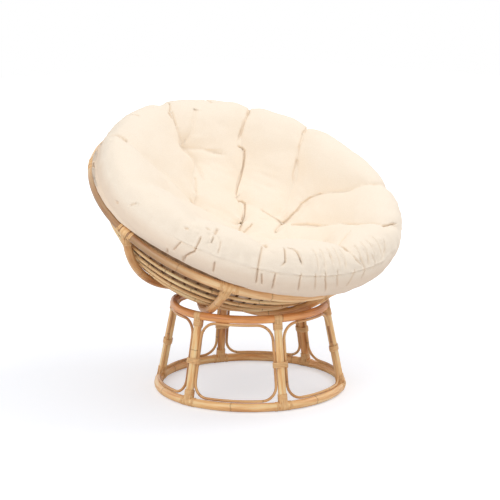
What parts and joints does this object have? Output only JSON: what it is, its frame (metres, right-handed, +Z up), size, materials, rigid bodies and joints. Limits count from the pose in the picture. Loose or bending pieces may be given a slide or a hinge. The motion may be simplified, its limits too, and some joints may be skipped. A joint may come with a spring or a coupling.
{
  "type": "papasan chair",
  "caption": "Round rattan bowl chair: a bowl of poles and canes tilted on a drum-shaped base, with a thick tufted round cushion.",
  "frame": {"origin": "on the floor, under the middle of the whole chair's bounding box in the stored pose", "axes": "+Z up, -Y towards the low side of the tilted bowl, +X to the left of a person who sits in it"},
  "size_m": [1.1146, 1.059, 0.9927],
  "materials": {
    "pole": "satin clear lacquer on rattan pole",
    "thin_cane": "satin clear lacquer on thin cane",
    "cane_peel": "satin wound cane peel",
    "cushion_cloth": "matt woven cotton over soft filling"
  },
  "bodies": {
    "base": {"base_bottom_ring": "pole", "base_top_ring": "pole", "bay_loop_1": "thin_cane", "bay_loop_2": "thin_cane", "bay_loop_3": "thin_cane", "bay_loop_4": "thin_cane", "bay_loop_5": "thin_cane", "bay_loop_6": "thin_cane", "foot_wrap_1": "cane_peel", "foot_wrap_2": "cane_peel", "foot_wrap_3": "cane_peel", "foot_wrap_4": "cane_peel", "foot_wrap_5": "cane_peel", "foot_wrap_6": "cane_peel", "head_wrap_1": "cane_peel", "head_wrap_2": "cane_peel", "head_wrap_3": "cane_peel", "head_wrap_4": "cane_peel", "head_wrap_5": "cane_peel", "head_wrap_6": "cane_peel", "middle_wrap_1": "cane_peel", "middle_wrap_2": "cane_peel", "middle_wrap_3": "cane_peel", "middle_wrap_4": "cane_peel", "middle_wrap_5": "cane_peel", "middle_wrap_6": "cane_peel", "upright_1": "pole", "upright_2": "pole", "upright_3": "pole", "upright_4": "pole", "upright_5": "pole", "upright_6": "pole"},
    "bowl": {"hoop_1": "thin_cane", "hoop_2": "thin_cane", "hoop_3": "thin_cane", "hoop_4": "thin_cane", "hoop_5": "thin_cane", "hoop_6": "thin_cane", "hoop_7": "thin_cane", "hoop_8": "thin_cane", "hoop_9": "thin_cane", "rib_1": "pole", "rib_2": "pole", "rib_3": "pole", "rib_4": "pole", "rib_5": "pole", "rib_6": "pole", "rib_7": "pole", "rib_8": "pole", "rib_wrap_1": "cane_peel", "rib_wrap_2": "cane_peel", "rib_wrap_3": "cane_peel", "rib_wrap_4": "cane_peel", "rib_wrap_5": "cane_peel", "rib_wrap_6": "cane_peel", "rib_wrap_7": "cane_peel", "rib_wrap_8": "cane_peel", "rim": "pole"},
    "cushion": {"cushion": "cushion_cloth"}
  },
  "joints": [
    {"name": "bowl_tilt", "type": "hinge", "parent": "base", "child": "bowl", "pos_m": [-0.02638, -0.04003, 0.82306], "axis": [1, 0, 0], "range_deg": [-29, 3]},
    {"name": "cushion_lift", "type": "slide", "parent": "bowl", "child": "cushion", "axis": [0, -0.4848, 0.8746], "range_m": [0, 0.4]}
  ]
}
